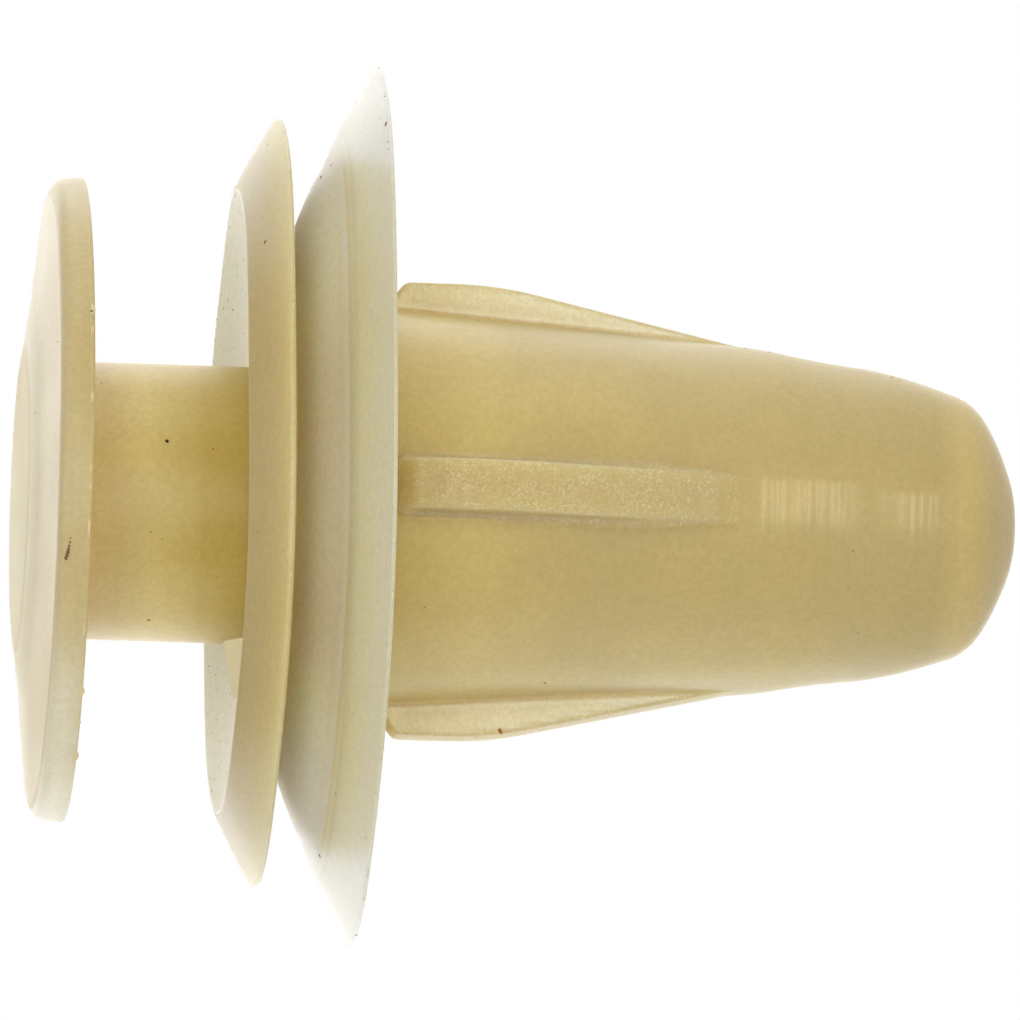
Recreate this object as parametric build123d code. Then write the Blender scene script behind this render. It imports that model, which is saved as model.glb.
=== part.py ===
from build123d import *
import math
import os

# A trim panel retainer, moulded in one shot of natural nylon.
# It stands on its head: Z is its axis, Z = 0 is the flat in the middle of the head, and the nose is up.
# From the bottom up: head, neck, dished collar, umbrella seal, four-finned shank and rounded nose.
# All sizes are millimetres. Every radius is taken from the axis and every height from the head's flat.

# Head, which drops into the keyhole of a boss on the trim panel
PAD_RADIUS = 3.15
HEAD_RADIUS = 7.1
HEAD_DRAFT = 0.04
HEAD_FACE_RISE = 0.52
HEAD_FACE_BULGE = 0.06
HEAD_THICKNESS = 1.2
HEAD_CORNER = 0.35

# Neck, the groove between head and collar
NECK_RADIUS = 3.05
NECK_ROOT_CHAMFER = 0.1

# Collar, whose front is dished so that its thin rim bears on the boss
COLLAR_RIM_RADIUS = 6.95
COLLAR_RIM_HEIGHT = 4.6
COLLAR_RIM_LAND = 0.1
COLLAR_EDGE_RADIUS = 8.45
COLLAR_EDGE_HEIGHT = 5.42
COLLAR_EDGE_LAND = 0.1
DISH_DEPTH = 0.62
DISH_FLOOR_RADIUS = 4.3
DISH_FILLET = 0.3

# Root of the narrow groove between collar and seal
GROOVE_ROOT_RADIUS = 5.4
GROOVE_ROOT_HEIGHT = 5.62
GROOVE_ROOT_WIDTH = 0.1

# Umbrella seal: a thick hub disc, and a feather lip over its front that flattens on the sheet metal
SEAL_BEND_RADIUS = 7.7
SEAL_BEND_HEIGHT = 6.6
SEAL_BULGE = 0.06
HUB_RADIUS = 7.75
HUB_WALL_BULGE = 0.07
HUB_UNDERSIDE_HEIGHT = 7.55
HUB_EDGE_CHAMFER = 0.15
LIP_RADIUS = 9.7
LIP_HEIGHT = 7.56
LIP_LAND = 0.09
LIP_DISH = 0.05
LIP_ROOT_RADIUS = 7.4
LIP_ROOT_HEIGHT = 6.72

# Shank, a slim cone that turns into a bullet nose
SHANK_ROOT_RADIUS = 4.48
SHANK_ROOT_CHAMFER = 0.12
SHANK_BEND_HEIGHT = 16.1
SHANK_BEND_RADIUS = 3.85
SHANK_BEND_FILLET = 12
NOSE_START_HEIGHT = 19.4
NOSE_START_RADIUS = 3.33
NOSE_FLANK_BULGE = 0.11
NOSE_SHOULDER_RADIUS = 2.58
NOSE_SHOULDER_FILLET = 0.7
NOSE_CAP_RADIUS = 4.4
OVERALL_LENGTH = 22.07

# Fins, which press into the hole of the door's inner panel
FIN_COUNT = 4
FIN_WIDTH = 1.12
FIN_RADIUS = 5.06
FIN_ROOT_FILLET = 0.3
FIN_FOOT_SINK = 0.03
FIN_FOOT_WIDTH = 2.2
FIN_START_HEIGHT = 7.95
FIN_CATCH_HEIGHT = 8.42
FIN_RAMP_HEIGHT = 10.47
FIN_RAMP_FILLET = 8
FIN_END_HEIGHT = 16.1
FIN_END_RADIUS = 3.8
FIN_BURIED_RADIUS = 2.0


def corner_at(sketch, radius, height):
    """The corner of the half section nearest to a radius and a height."""
    place = Vector(radius, height, 0)
    return min(sketch.vertices(), key=lambda corner: (Vector(corner) - place).length)


def worked(sketch, operation, corners):
    """The half section with each named corner filleted or chamfered by its own size."""
    for (radius, height), size in corners:
        sketch = operation(corner_at(sketch, radius, height), size)
    return sketch


def bowed(start, end, bulge):
    """A shallow arc from start to end that stands out by bulge to the right of the way it goes."""
    along = Vector(end[0] - start[0], end[1] - start[1])
    middle = Vector((start[0] + end[0]) / 2, (start[1] + end[1]) / 2)
    outward = Vector(along.Y, -along.X).normalized()
    return ThreePointArc(start, middle + outward * bulge, end)


def on_cap(radius, centre_height):
    """The point of the nose's ball-shaped cap that lies at a radius from the axis."""
    return (radius, centre_height + math.sqrt(NOSE_CAP_RADIUS ** 2 - radius ** 2))


def half_section():
    """The half section of everything round, drawn with radius to the right and height upward."""
    pad_edge = (PAD_RADIUS, 0)
    head_front = (HEAD_RADIUS - HEAD_DRAFT, HEAD_FACE_RISE)
    head_back = (HEAD_RADIUS, HEAD_THICKNESS)
    neck_bottom = (NECK_RADIUS, HEAD_THICKNESS)
    dish_height = COLLAR_RIM_HEIGHT + DISH_DEPTH
    neck_top = (NECK_RADIUS, dish_height)
    dish_edge = (DISH_FLOOR_RADIUS, dish_height)
    rim_inside = (COLLAR_RIM_RADIUS - COLLAR_RIM_LAND, COLLAR_RIM_HEIGHT)
    rim_outside = (COLLAR_RIM_RADIUS, COLLAR_RIM_HEIGHT)
    collar_front = (COLLAR_EDGE_RADIUS, COLLAR_EDGE_HEIGHT)
    collar_back = (COLLAR_EDGE_RADIUS, COLLAR_EDGE_HEIGHT + COLLAR_EDGE_LAND)
    groove_front = (GROOVE_ROOT_RADIUS, GROOVE_ROOT_HEIGHT)
    groove_back = (GROOVE_ROOT_RADIUS, GROOVE_ROOT_HEIGHT + GROOVE_ROOT_WIDTH)
    seal_bend = (SEAL_BEND_RADIUS, SEAL_BEND_HEIGHT)
    lip_front = (LIP_RADIUS, LIP_HEIGHT)
    lip_back = (LIP_RADIUS, LIP_HEIGHT + LIP_LAND)
    lip_root = (LIP_ROOT_RADIUS, LIP_ROOT_HEIGHT)
    hub_edge = (HUB_RADIUS, HUB_UNDERSIDE_HEIGHT)
    shank_root = (SHANK_ROOT_RADIUS, HUB_UNDERSIDE_HEIGHT)
    shank_bend = (SHANK_BEND_RADIUS, SHANK_BEND_HEIGHT)
    nose_start = (NOSE_START_RADIUS, NOSE_START_HEIGHT)
    cap_centre_height = OVERALL_LENGTH - NOSE_CAP_RADIUS
    nose_shoulder = on_cap(NOSE_SHOULDER_RADIUS, cap_centre_height)
    nose_cap_middle = on_cap(NOSE_SHOULDER_RADIUS / 2, cap_centre_height)
    tip = (0, OVERALL_LENGTH)

    lines = [
        Line((0, 0), pad_edge),
        bowed(pad_edge, head_front, HEAD_FACE_BULGE),
        Line(head_front, head_back),
        Line(head_back, neck_bottom),
        Line(neck_bottom, neck_top),
        Line(neck_top, dish_edge),
        Line(dish_edge, rim_inside),
        Line(rim_inside, rim_outside),
        Line(rim_outside, collar_front),
        Line(collar_front, collar_back),
        Line(collar_back, groove_front),
        Line(groove_front, groove_back),
        bowed(groove_back, seal_bend, SEAL_BULGE),
        bowed(seal_bend, lip_front, -LIP_DISH),
        Line(lip_front, lip_back),
        Line(lip_back, lip_root),
        bowed(lip_root, hub_edge, HUB_WALL_BULGE),
        Line(hub_edge, shank_root),
        Line(shank_root, shank_bend),
        Line(shank_bend, nose_start),
        bowed(nose_start, nose_shoulder, NOSE_FLANK_BULGE),
        ThreePointArc(nose_shoulder, nose_cap_middle, tip),
        Line(tip, (0, 0)),
    ]
    section = worked(make_face(lines), fillet, [
        (head_front, HEAD_CORNER),
        (dish_edge, DISH_FILLET),
        (shank_bend, SHANK_BEND_FILLET),
        (nose_shoulder, NOSE_SHOULDER_FILLET),
    ])
    return worked(section, chamfer, [
        (neck_bottom, NECK_ROOT_CHAMFER),
        (neck_top, NECK_ROOT_CHAMFER),
        (hub_edge, HUB_EDGE_CHAMFER),
        (shank_root, SHANK_ROOT_CHAMFER),
    ])


def turned(section):
    """The half section stood up in the XZ plane and turned once round the axis."""
    return revolve(Plane.XZ * section, Axis.Z)


def shank_radius(height):
    """Radius of the shank's slim cone at a height."""
    share = (height - HUB_UNDERSIDE_HEIGHT) / (SHANK_BEND_HEIGHT - HUB_UNDERSIDE_HEIGHT)
    return SHANK_ROOT_RADIUS + share * (SHANK_BEND_RADIUS - SHANK_ROOT_RADIUS)


def fin_envelope():
    """The turned solid that bounds all fins: catch, land that presses in the hole, and long ramp."""
    section = make_face(Polyline(
        (FIN_BURIED_RADIUS, FIN_START_HEIGHT),
        (shank_radius(FIN_START_HEIGHT), FIN_START_HEIGHT),
        (FIN_RADIUS, FIN_CATCH_HEIGHT),
        (FIN_RADIUS, FIN_RAMP_HEIGHT),
        (FIN_END_RADIUS, FIN_END_HEIGHT),
        (FIN_BURIED_RADIUS, FIN_END_HEIGHT),
        close=True,
    ))
    return turned(worked(section, fillet, [((FIN_RADIUS, FIN_RAMP_HEIGHT), FIN_RAMP_FILLET)]))


def fin_rib():
    """A rib along X whose rounded roots lean with the cone, so that they lie on it all the way."""
    foot_radius = shank_radius(FIN_START_HEIGHT) - FIN_FOOT_SINK
    rib = Rectangle(FIN_RADIUS + 1, FIN_WIDTH, align=(Align.MIN, Align.CENTER))
    plan = Circle(foot_radius) + rib
    root_x = math.sqrt(foot_radius ** 2 - (FIN_WIDTH / 2) ** 2)
    for side in (1, -1):
        plan = fillet(corner_at(plan, root_x, side * FIN_WIDTH / 2), FIN_ROOT_FILLET)
    plan = plan & Rectangle(FIN_RADIUS + 1, FIN_FOOT_WIDTH, align=(Align.MIN, Align.CENTER))
    climb = FIN_END_HEIGHT - FIN_START_HEIGHT
    lean = Vector(shank_radius(FIN_END_HEIGHT) - shank_radius(FIN_START_HEIGHT), 0, climb)
    return extrude(Pos(0, 0, FIN_START_HEIGHT) * plan, amount=lean.length, dir=lean.normalized())


def fins():
    """Four ribs cut to one turned envelope, so that their backs follow the round of the hole."""
    envelope = fin_envelope()
    rib = fin_rib()
    return [envelope & (Rot(0, 0, 360 / FIN_COUNT * turn) * rib) for turn in range(FIN_COUNT)]


def retainer():
    """The whole moulding as one solid."""
    body = turned(half_section())
    for fin in fins():
        body = body + fin
    return body.solid()


os.makedirs("parts", exist_ok=True)
part = retainer()
print("retainer", round(part.volume, 1), "cubic mm", part.bounding_box().size)
export_step(part, "parts/retainer.step")
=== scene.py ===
# %% [markdown]
# This lesson dresses a trim panel retainer: one small push-in clip, moulded in a single shot of nylon.
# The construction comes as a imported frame, already at its real size, and everything here is laid over it.
# We load the frame first and keep its box, because the finished model has to stay inside it.

import math

import bpy
import numpy as np
from mathutils import Matrix, Vector
from mathutils.bvhtree import BVHTree


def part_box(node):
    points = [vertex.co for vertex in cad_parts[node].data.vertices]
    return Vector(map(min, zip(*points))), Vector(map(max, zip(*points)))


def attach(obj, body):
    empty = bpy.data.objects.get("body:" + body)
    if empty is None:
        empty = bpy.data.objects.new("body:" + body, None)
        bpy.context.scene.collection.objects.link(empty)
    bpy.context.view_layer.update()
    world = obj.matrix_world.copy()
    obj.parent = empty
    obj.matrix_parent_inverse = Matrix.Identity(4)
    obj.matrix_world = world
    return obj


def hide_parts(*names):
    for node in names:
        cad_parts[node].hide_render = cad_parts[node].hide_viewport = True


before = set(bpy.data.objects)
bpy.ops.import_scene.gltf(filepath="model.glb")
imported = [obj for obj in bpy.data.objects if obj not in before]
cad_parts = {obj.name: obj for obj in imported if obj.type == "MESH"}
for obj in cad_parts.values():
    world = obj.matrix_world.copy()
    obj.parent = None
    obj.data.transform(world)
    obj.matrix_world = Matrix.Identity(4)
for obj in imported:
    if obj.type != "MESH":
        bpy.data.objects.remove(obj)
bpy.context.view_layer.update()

# %% [markdown]
# Blender counts in metres and a clip is drawn in millimetres, so one name turns the one into the other.
# The two outer sizes are read from the frame: the clip's length, and the radius of its widest lip.
# Z is the clip's axis, Z = 0 is the flat in the middle of the head, and the nose is up.

# %% Units and outer sizes
MM = 0.001
SEED = 22
lowest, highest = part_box("retainer")
LENGTH = highest.z - lowest.z
LIP_RADIUS = (highest.x - lowest.x) / 2
chance = np.random.default_rng(SEED)
print("length", round(LENGTH / MM, 2), "mm and lip radius", round(LIP_RADIUS / MM, 2), "mm")

# %% [markdown]
# All of this clip but its fins is round, so most of it is one outline turned about the axis.
# We could draw the outline as a curve and use the Screw modifier. Working it out ourselves lets us crowd
# the rings where the form turns sharply and bend some places later.
# An outline is a list of corners. Real mouldings have no sharp corner, so each gets a small rounding.

# %% Corners and sides of an outline
def corner(radius, height, reach=0.0, turn=1, rings=6, bulge=0.0, pale=0.15, shade=1.0):
    """A corner in mm: its place, how far its rounding reaches along both sides and the spans in that
    rounding, then the rings along the side that follows, and how far that side bows outwards. Pale runs from
    0 for amber over 0.15 for the yellow of thick nylon to 1 for the white of thin edges, and in places holds
    painted light. The last factor is painted light and shade, which darkens or lightens the colour."""
    at = np.array([radius, height]) * MM
    look = np.array([pale, shade])
    return {"at": at, "reach": reach * MM, "turn": turn, "rings": rings, "bulge": bulge * MM, "look": look}


def toward(start, end):
    """The direction from start to end, one unit long: (end - start) / length."""
    return (end - start) / np.linalg.norm(end - start)


def rounding(before, here, after):
    """A rounding is the parabola that touches both sides: (1-t)^2 start + 2t(1-t) corner + t^2 end."""
    at, reach = here["at"], here["reach"]
    start, end = at + reach * toward(at, before["at"]), at + reach * toward(at, after["at"])
    t = np.linspace(0, 1, here["turn"] + 1)[:, None] if reach else np.array([[0.5]])
    return (1 - t) ** 2 * start + 2 * t * (1 - t) * at + t ** 2 * end


def side(start, end, rings, bulge):
    """A side is a straight line plus bulge x 4t(1-t) along its outward normal. The points crowd at both
    ends, because t = (1 - cos a) / 2 for even steps of a."""
    t = (1 - np.cos(np.pi * np.arange(1, rings + 1) / (rings + 1)))[:, None] / 2
    along = toward(start, end)
    outward = np.array([along[1], -along[0]])
    return start + t * (end - start) + bulge * 4 * t * (1 - t) * outward


def outline(corners):
    """All roundings and sides one after the other, as rows of (radius, height, paleness, painted light and
    shade).
    """
    middle_turns = [rounding(*three) for three in zip(corners, corners[1:], corners[2:])]
    turns = [corners[0]["at"][None]] + middle_turns + [corners[-1]["at"][None]]
    rows = []
    for here, after, turn, next_turn in zip(corners, corners[1:], turns, turns[1:]):
        rows.append(np.column_stack([turn, np.tile(here["look"], (len(turn), 1))]))
        line = side(turn[-1], next_turn[0], here["rings"], here["bulge"])
        share = np.linspace(0, 1, len(line) + 2)[1:-1, None]
        rows.append(np.column_stack([line, (1 - share) * here["look"] + share * after["look"]]))
    rows.append(np.append(corners[-1]["at"], corners[-1]["look"])[None])
    return np.concatenate(rows)


print("outline helpers ready")

# %% [markdown]
# The head is a round button. It drops through the wide end of a keyhole in the panel's boss and slides along
# the slot. Its face has a flat in the middle and rises gently to a rounded rim. The neck is the groove
# behind it, as long as the boss is thick. Its colour runs from pale and bright by the head to amber by the
# collar, which is painted light and shade for light that bounces between head and collar.

# %% Head and neck
FLAT_RADIUS = 3.15
FLAT_STEP_WIDTH, FLAT_STEP = 0.35, 0.045
FACE_KNEE_RADIUS, FACE_KNEE_RISE = 4.6, 0.23
HEAD_RADIUS = 7.12
HEAD_FACE_RISE = 0.5
HEAD_THICKNESS = 1.2
NECK_RADIUS = 3.06
AMBER_START, AMBER_FULL = 2.65, 3.9
DISH_FLOOR = 5.2

# The paleness and shade of the head's corners are painted light and shade: a darker, yellower flat, a
# painted highlight on the ring just outside it, and a darker band on the side of the rim.
head = [
    corner(0, 0, rings=5, pale=0.18, shade=1.1),
    corner(FLAT_RADIUS, 0, 0.05, 3, rings=2, pale=0.2, shade=1.1),
    corner(FLAT_RADIUS + FLAT_STEP_WIDTH, FLAT_STEP, rings=6, pale=0.75),
    corner(FACE_KNEE_RADIUS, FACE_KNEE_RISE, 0.4, 3, rings=8, pale=0.38, shade=0.97),
    corner(HEAD_RADIUS - 0.45, HEAD_FACE_RISE - 0.04, rings=2, pale=0.38, shade=0.96),
    corner(HEAD_RADIUS - 0.05, HEAD_FACE_RISE, 0.36, 8, rings=4, pale=0.3, shade=0.8),
    corner(HEAD_RADIUS, HEAD_THICKNESS, 0.07, 3, rings=12, pale=0.25, shade=0.78),
]
# Painted light and shade along the neck: pale and bright by the head, amber and darker by the collar.
neck = [
    corner(NECK_RADIUS, HEAD_THICKNESS, 0.22, 5, rings=8, pale=0.2, shade=1.3),
    corner(NECK_RADIUS, AMBER_START, rings=5, pale=0.09, shade=0.99),
    corner(NECK_RADIUS, AMBER_FULL, rings=6, pale=0.02, shade=0.91),
    corner(NECK_RADIUS, DISH_FLOOR, 0.2, 5, rings=4, pale=0, shade=0.93),
]
print("head and neck:", len(head + neck), "corners")

# %% [markdown]
# Two skirts sit back to back behind the neck. The collar's front is dished, so that only its thin rim
# bears on the boss and keeps the clip under spring. The umbrella seal behind it has a thick hub disc, and
# past a small step a feather lip, which flattens against the sheet metal and keeps water out.

# %% Collar and seal
DISH_EDGE_RADIUS = 4.3
RIM_RADIUS = 6.97
RIM_WIDTH = 0.1
RIM_HEIGHT = 4.6
COLLAR_RADIUS = 8.47
COLLAR_HEIGHT = 5.41
COLLAR_EDGE = 0.11
GAP_RADIUS = 5.4
GAP_FRONT, GAP_BACK = 5.62, 5.72
HUB_RADIUS = 7.75
HUB_SHOULDER = 6.62
HUB_UNDERSIDE = 7.53
HUB_STEP_WIDTH, HUB_STEP = 0.45, 0.2
LIP_HEIGHT = 7.56
LIP_THICKNESS = 0.09
LIP_ROOT = 0.26
lip_radius = LIP_RADIUS / MM
lip_edge_radius = lip_radius - 0.02

# The collar's paleness and shade paint light into its dish, which shows near white for light shining through
# the thin rim, and paint its rim and edges darker.
collar = [
    corner(DISH_EDGE_RADIUS, DISH_FLOOR, 0.3, 5, rings=18, bulge=-0.05, pale=0.9, shade=1.08),
    corner(RIM_RADIUS - RIM_WIDTH, RIM_HEIGHT, 0.04, 3, rings=1, pale=1, shade=1.05),
    corner(RIM_RADIUS, RIM_HEIGHT, 0.05, 3, rings=14, bulge=0.012, pale=0.29, shade=0.8),
    corner(COLLAR_RADIUS, COLLAR_HEIGHT, 0.04, 3, rings=1, pale=0.24, shade=0.86),
    corner(COLLAR_RADIUS, COLLAR_HEIGHT + COLLAR_EDGE, 0.04, 3, rings=10, pale=0.24, shade=0.76),
    corner(GAP_RADIUS, GAP_FRONT, 0.04, 2, rings=1),
]
# The seal's paleness and shade paint light into the deep gap beside the collar, where shade falls, and paint
# the hub's step and the lip slightly darker.
seal = [
    corner(GAP_RADIUS, GAP_BACK, 0.04, 2, rings=18, bulge=0.06, pale=0.85, shade=1.15),
    corner(HUB_RADIUS - 0.03, HUB_SHOULDER, 0.2, 6, rings=1, pale=0.75),
    corner(HUB_RADIUS + HUB_STEP_WIDTH, HUB_SHOULDER + HUB_STEP, 0.2, 5, rings=14, bulge=-0.03,
           pale=0.45, shade=0.92),
    corner(lip_edge_radius, LIP_HEIGHT, 0.02, 3, rings=1, pale=0.4, shade=0.92),
    corner(lip_edge_radius, LIP_HEIGHT + LIP_THICKNESS, 0.03, 3, rings=10, pale=0.4, shade=0.92),
    corner(HUB_RADIUS, HUB_SHOULDER + LIP_ROOT, 0.05, 2, rings=4, bulge=0.05),
    corner(HUB_RADIUS, HUB_UNDERSIDE, 0.15, 4, rings=10),
]
print("collar and seal:", len(collar + seal), "corners")

# %% [markdown]
# The shank is a slim cone that bends into a bullet nose, so that the clip finds its hole by itself.
# The corners that lie on the cone's straight side add nothing to its form. They only put rings where the
# fins will change direction.

# %% Shank and nose
SHANK_ROOT_RADIUS = 4.47
BEND_RADIUS, BEND_HEIGHT = 3.85, 16.1
NOSE_START_RADIUS, NOSE_START_HEIGHT = 3.34, 19.4
NOSE_EDGE_RADIUS, NOSE_EDGE_HEIGHT = 2.78, 21.08
CROWN_RADIUS, CROWN_HEIGHT = 1.93, 21.61
TIP_RADIUS, TIP_RISE = 0.8, 0.02
FIN_START = 7.95
FIN_CATCH = 8.42
FIN_RAMP = 10.47
nose_tip = LENGTH / MM
past_catch = FIN_CATCH + 0.1


def cone_radius(height):
    """Radius in mm of the shank's straight cone: root + share x (bend - root), by share of the height."""
    share = (height - HUB_UNDERSIDE) / (BEND_HEIGHT - HUB_UNDERSIDE)
    return SHANK_ROOT_RADIUS + share * (BEND_RADIUS - SHANK_ROOT_RADIUS)


# The shank's paleness and shade paint light at its root, which lies in the shade of the skirts.
shank = [
    corner(SHANK_ROOT_RADIUS, HUB_UNDERSIDE, 0.12, 4, rings=4, pale=0.07, shade=0.97),
    corner(cone_radius(FIN_START), FIN_START, rings=10, pale=0.07, shade=0.97),
    corner(cone_radius(past_catch), past_catch, rings=10, pale=0.08, shade=0.96),
    corner(cone_radius(FIN_RAMP), FIN_RAMP, rings=26, pale=0.12, shade=0.965),
]
# The nose's shade paints it slightly darker, with a lighter edge before the crown.
nose = [
    corner(BEND_RADIUS, BEND_HEIGHT, 0.5, 8, rings=18, bulge=-0.025, shade=0.96),
    corner(NOSE_START_RADIUS, NOSE_START_HEIGHT, 0.8, 14, rings=5, shade=0.9),
    corner(NOSE_EDGE_RADIUS, NOSE_EDGE_HEIGHT, 0.49, 8, rings=1, shade=1.02),
    corner(CROWN_RADIUS, CROWN_HEIGHT, 0.49, 8, rings=1),
    corner(TIP_RADIUS, nose_tip - TIP_RISE, 0.5, 6, rings=5),
    corner(0, nose_tip),
]
rings = outline(head + neck + collar + seal + shank + nose)
ring_radius, ring_height, ring_pale, ring_shade = rings.T
print("outline of", len(rings), "rings")

# %% [markdown]
# Four fins stand on the shank. They start at a steep catch that snaps behind the sheet metal, run level
# where they press in the hole, and ramp down towards the nose.
# A grid turned about the axis can still hold them, if its lines crowd where the flanks of the fins rise.
# The stops are degrees from a fin's middle to halfway to the next, and each stretch has its lines.

# %% Angles round the axis
FIN_COUNT = 4
PITCH = 360 / FIN_COUNT
FLANK_STOPS = [0.0, 5.2, 6.2, 8.5, 13.0, PITCH / 2]
FLANK_LINES = [3, 3, 10, 6, 9]

half = np.concatenate([np.linspace(a, b, lines, endpoint=False)
                       for a, b, lines in zip(FLANK_STOPS, FLANK_STOPS[1:], FLANK_LINES)])
quarter = np.concatenate([half, [PITCH / 2], PITCH - half[:0:-1]])
angles = np.radians(np.concatenate([quarter + PITCH * k for k in range(FIN_COUNT)]))
print(len(angles), "lines round the axis")

# %% [markdown]
# A fin and the shank meet in a rounded root, and the fin's back has small rounded edges.
# We describe the section at each height by distances: how far a point lies outside the round of the shank,
# outside the fin's two flanks, and outside its back. Joining and cutting such distances with a rounded
# corner gives the moulded section in one formula.

# %% Fin outline and rounded joins
FIN_WIDTH = 1.12
FIN_BACK_RADIUS = 5.06
FIN_END = 16.1
FIN_END_RADIUS = 3.8
ROOT_ROUNDING = 0.3
EDGE_ROUNDING = 0.09

fin_outline = outline([
    corner(cone_radius(FIN_START) - 0.05, FIN_START - 0.02, rings=2),
    corner(FIN_BACK_RADIUS, FIN_CATCH, 0.12, 4, rings=2),
    corner(FIN_BACK_RADIUS, FIN_RAMP, 0.9, 8, rings=2),
    corner(FIN_END_RADIUS, FIN_END),
])


def rounded_join(a, b, r):
    """Union of two shapes given by distances, with a hollow rounding where they meet:
    max(r, min(a, b)) - length(max(r - a, 0), max(r - b, 0))."""
    return np.maximum(r, np.minimum(a, b)) - np.hypot(np.maximum(r - a, 0), np.maximum(r - b, 0))


def rounded_cut(a, b, r):
    """Overlap of two shapes given by distances, with a rounded outer edge:
    min(-r, max(a, b)) + length(max(r + a, 0), max(r + b, 0))."""
    return np.minimum(-r, np.maximum(a, b)) + np.hypot(np.maximum(r + a, 0), np.maximum(r + b, 0))


print("a fin's outline has", len(fin_outline), "points")

# %% [markdown]
# The surface is where the joined distance is zero. No formula gives its radius directly, but we know that
# it lies between the shank's skin and just past a fin's back. Halving that interval along every ray at
# once, thirty times, finds it far finer than we need.

# %% Fins
HALVINGS = 30
SEARCH_FROM, SEARCH_TO = 0.98, 1.1
SHANK_RADIUS_LIMIT = 4.45


def finned_radius(radius, height, angle):
    """Distance from the axis to the surface of shank and fins along each ray, as a whole grid."""
    fin_back = np.interp(height, fin_outline[:, 1], fin_outline[:, 0], left=0, right=0)
    pitch = 2 * np.pi / FIN_COUNT
    off_fin = (angle + pitch / 2) % pitch - pitch / 2
    root = np.clip(fin_back - radius, 1e-6, ROOT_ROUNDING * MM)
    high = np.full(np.broadcast(radius, angle).shape, FIN_BACK_RADIUS * MM * SEARCH_TO)
    low = np.broadcast_to(radius * SEARCH_FROM, high.shape)
    for _ in range(HALVINGS):
        middle = (low + high) / 2
        flank = np.abs(middle * np.sin(off_fin)) - FIN_WIDTH * MM / 2
        fin = rounded_cut(flank, middle - fin_back, EDGE_ROUNDING * MM)
        outside = rounded_join(middle - radius, fin, root) > 0
        low, high = np.where(outside, low, middle), np.where(outside, middle, high)
    return np.where(fin_back > radius - ROOT_ROUNDING * MM, (low + high) / 2, radius)


on_shank = (ring_height > HUB_UNDERSIDE * MM) & (ring_radius < SHANK_RADIUS_LIMIT * MM)
grid_radius = np.repeat(ring_radius[:, None], len(angles), 1)
grid_height = np.repeat(ring_height[:, None], len(angles), 1)
grid_radius[on_shank] = finned_radius(ring_radius[on_shank, None], ring_height[on_shank, None], angles[None])
print("fins reach", round(grid_radius[on_shank].max() / MM, 2), "mm from the axis")

# %% [markdown]
# A moulding is never as true as its drawing. Both skirts sit a little to one side of the axis, their rims
# wave, and the whole body is slightly out of round. These are moves of the grid's own points, so they show
# in the silhouette, which bump in a material can't do. The clip lies turned about its axis by some degrees,
# so two directions get names from here on: up in the picture, and near, towards the viewer.

# %% Small faults of the moulding
FIN_TURN = math.radians(7.5)
SKIRT_FROM, SKIRT_FULL, SKIRT_HEIGHT = 4.6, 6.5, 4
SKIRT_SHIFT = 0.09
SKIRT_WAVE = 0.05
BODY_WAVE = 0.012
STILL_RADIUS = 1.5
up = np.array([-math.cos(FIN_TURN), -math.sin(FIN_TURN), 0.0])
near = np.array([math.sin(FIN_TURN), -math.cos(FIN_TURN), 0.0])


def smooth(low, high, value):
    """0 below low, 1 above high, and 3t^2 - 2t^3 between."""
    t = np.clip((value - low) / (high - low), 0, 1)
    return t * t * (3 - 2 * t)


def waves(strength, turns, along):
    """A sum of waves with chance phases: cos(m angle + n height + phase)."""
    total = np.zeros_like(grid_radius)
    for m in turns:
        n, phase = chance.uniform(-along, along) / MM, chance.uniform(0, 2 * np.pi)
        total += np.cos(m * angles[None] + n * grid_height + phase)
    return strength * MM * total / len(turns)


skirt = smooth(SKIRT_FROM * MM, SKIRT_FULL * MM, ring_radius) * (ring_height > SKIRT_HEIGHT * MM)
shift = SKIRT_SHIFT * MM * skirt[:, None, None] * up
rim_wave = skirt[:, None] * waves(SKIRT_WAVE, [2, 3, 5], 0.05)
body_wave = waves(BODY_WAVE, [2, 3, 4], 0.4) * (ring_radius > STILL_RADIUS * MM)[:, None]

points = np.stack([
    (grid_radius + body_wave) * np.cos(angles),
    (grid_radius + body_wave) * np.sin(angles),
    grid_height + rim_wave,
], 2) + shift
points[0, :, :2] = 0
points[-1, :, :2] = 0
print("moved by up to", round(float(np.abs(rim_wave).max()) / MM, 3), "mm at the rims")

# %% [markdown]
# Nylon looks yellow where it is thick and nearly white where it is thin, because light is lost on its way
# through. The outline already carries a paleness for each ring, partly this tone of the nylon and partly
# painted light where light from behind shines through thin walls. To refine it we first ask which feature a
# point belongs to: each answer is a number from 0 to 1, so that a feature can fade out.

# %% Features of the clip
HUB_OUTLINE = [(1.5, 6.6), (2.0, 7.03), (2.5, 7.44), (3.4, 7.6), (4.5, 7.68), (5.6, 7.6), (6.1, 7.5)]
FAR = 1000
rise = points @ up / MM
off_middle = np.abs(rise)


def zone(inner, outer, low, high):
    """The rings with inner < radius < outer and low < height < high, in mm. FAR stands for no limit."""
    within = (ring_radius > inner * MM) & (ring_radius < outer * MM)
    return (within & (ring_height > low * MM) & (ring_height < high * MM))[:, None]


head_side = zone(6.5, FAR, HEAD_FACE_RISE, HEAD_THICKNESS + 0.05)
head_face = zone(FLAT_RADIUS + 0.05, FAR, -FAR, HEAD_FACE_RISE)
hub = zone(5.3, 8.2, 5.7, FAR)
hub_underside = zone(0, HUB_RADIUS + 0.05, 6.85, FAR)
seal_front = zone(6, FAR, 5.9, FAR) & ~hub_underside
in_dish = zone(4.2, RIM_RADIUS, RIM_HEIGHT - 0.01, DISH_FLOOR + 0.01)
before_rim = np.cumsum(in_dish)[:, None] < in_dish.sum() - 4
dish_wall = smooth(4.2 * MM, 4.9 * MM, ring_radius)[:, None] * in_dish * before_rim

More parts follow.
